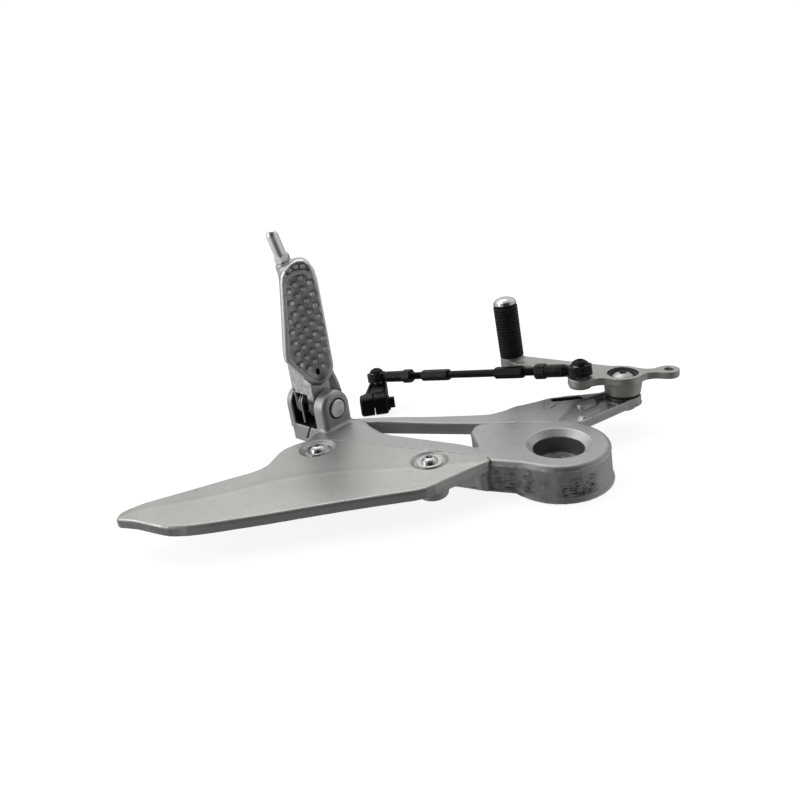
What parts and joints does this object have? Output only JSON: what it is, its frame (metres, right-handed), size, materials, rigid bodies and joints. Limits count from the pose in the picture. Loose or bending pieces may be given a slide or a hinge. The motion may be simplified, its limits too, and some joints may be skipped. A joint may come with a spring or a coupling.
{
  "type": "motorcycle footrest hanger",
  "caption": "Cast footrest hanger with a folding studded peg, a satin heel guard and a gear shift lever whose toe peg, link rod and split shift arm move together.",
  "frame": {"origin": "axis of the main boss's frame bolt bore, on the inboard face that lies on the frame", "axes": "+X forward along the machine, +Y downward on the machine, +Z outboard along the bore; the part lies with its outer face up"},
  "size_m": [0.3739, 0.2137, 0.1647],
  "materials": {
    "cast_silver": "blasted and clear coated casting",
    "guard_silver": "satin silver",
    "peg_alloy": "as cast",
    "lever_alloy": "satin",
    "stainless": "bright",
    "zinc_steel": "zinc plated",
    "bright_zinc": "bright zinc",
    "black_steel": "black coated steel",
    "black_rubber": "moulded rubber",
    "bronze": "plain bearing",
    "liner": "dark moulded liner"
  },
  "bodies": {
    "hanger": {"hanger_casting": "cast_silver", "heel_guard": "guard_silver", "guard_screws": "stainless", "guard_collars": "stainless", "footrest_pin": "bright_zinc", "pin_washer": "zinc_steel", "pin_clip": "zinc_steel", "return_spring": "zinc_steel", "lever_pivot_bolt": "zinc_steel", "lower_seal": "black_rubber"},
    "footrest": {"footrest_peg": "peg_alloy", "bank_feeler": "bright_zinc"},
    "lever": {"shift_lever": "lever_alloy", "pivot_bush": "bronze", "upper_seal": "black_rubber", "toe_peg_pin": "stainless", "toe_peg_rubber": "black_rubber", "front_ball": "zinc_steel", "front_ball_bolt": "black_steel"},
    "rod": {"front_rod_end": "black_steel", "front_race": "liner", "front_lock_nut": "black_steel", "link_rod": "black_steel", "rear_lock_nut": "black_steel", "rear_race": "liner", "rear_rod_end": "black_steel"},
    "arm": {"shift_arm": "black_steel", "pinch_bolt": "black_steel", "rear_ball": "zinc_steel", "rear_ball_bolt": "black_steel"}
  },
  "joints": [
    {"name": "footrest_fold", "type": "hinge", "parent": "hanger", "child": "footrest", "pos_m": [-0.153, 0.084, 0.038], "axis": [0.7071, -0.7071, 0], "range_deg": [0, 75], "stiffness_Nm_per_rad": 0.3, "springref_deg": -57.3, "deforming": ["return_spring"]},
    {"name": "lever_pivot", "type": "hinge", "parent": "hanger", "child": "lever", "pos_m": [0.0624, 0.0583, 0.032], "axis": [0, 0, 1], "range_deg": [-6.5, 6.5]},
    {"name": "rod_front_turn", "type": "hinge", "parent": "lever", "child": "rod", "pos_m": [0.0333, 0.0611, 0.045], "axis": [0, 0, 1], "range_deg": [-8, 8]},
    {"name": "arm_turn", "type": "hinge", "parent": "rod", "child": "arm", "pos_m": [-0.1108, 0.168, 0.021], "axis": [0, 0, 1], "range_deg": [-4.5, 4.5]}
  ],
  "couplings": [
    {"joint": "rod_front_turn", "follows": "lever_pivot", "ratio": -1.1758},
    {"joint": "arm_turn", "follows": "lever_pivot", "ratio": -0.6442}
  ]
}
